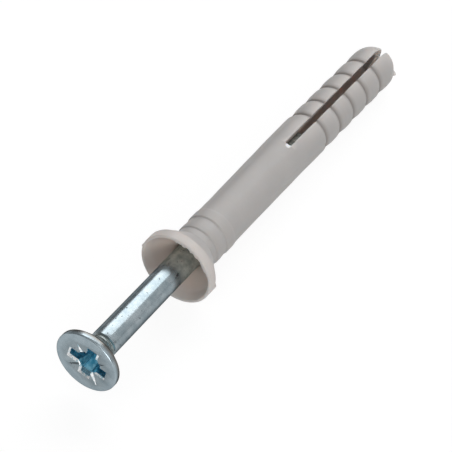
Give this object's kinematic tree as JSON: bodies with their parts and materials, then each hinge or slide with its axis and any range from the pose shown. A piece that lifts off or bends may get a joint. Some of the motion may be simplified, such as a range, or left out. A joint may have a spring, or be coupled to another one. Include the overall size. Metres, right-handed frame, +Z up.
{
  "type": "hammer fixing plug",
  "caption": "Slotted, barbed nylon sleeve with a cupped countersunk collar, and the cross-recess steel screw that a hammer drives into it.",
  "frame": {"origin": "on the surface that the fixing lies on, below the middle of its overall box", "axes": "+X from the screw's head towards the sleeve's closed tip, +Z up from the surface; the fixing rests on the collar's rim and the last barb, so its own axis dips 2.55 degrees below +X towards the tip"},
  "size_m": [0.067, 0.01, 0.01],
  "materials": {
    "nylon": "light grey moulded nylon, satin, slightly translucent at its thin edges",
    "zinc_steel": "steel with bright bluish zinc plating"
  },
  "bodies": {
    "sleeve": {"plug_sleeve": "nylon"},
    "screw": {"hammer_screw": "zinc_steel"}
  },
  "joints": [
    {"name": "screw_drive", "type": "slide", "parent": "sleeve", "child": "screw", "axis": [0.999, 0, -0.0444], "range_m": [0, 0.0185]}
  ]
}
